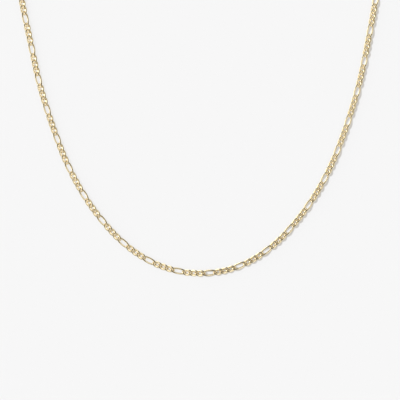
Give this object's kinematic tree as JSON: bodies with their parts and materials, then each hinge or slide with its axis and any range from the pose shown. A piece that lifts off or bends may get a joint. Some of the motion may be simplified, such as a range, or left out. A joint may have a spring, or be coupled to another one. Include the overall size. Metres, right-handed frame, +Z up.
{
  "type": "figaro chain necklace",
  "caption": "Slim gold figaro chain necklace: flat twisted oval links, short ones between long ones, closed by a plain clasp and laid out flat as an open loop.",
  "frame": {"origin": "bottom centre of the necklace's bounding box, on the surface that it lies on", "axes": "+Z up from the surface, +Y from the lowest point of the loop towards the clasp, +X to the right strand as the loop is seen from above"},
  "size_m": [0.1364, 0.1534, 0.0027],
  "materials": {
    "chain_gold": "polished pale yellow gold",
    "ring_gold": "polished pale yellow gold",
    "clasp_gold": "polished pale yellow gold"
  },
  "bodies": {
    "root": {"chain_left": "chain_gold", "chain_right": "chain_gold", "end_ring_left": "ring_gold", "end_ring_right": "ring_gold", "clasp": "clasp_gold"}
  },
  "joints": []
}
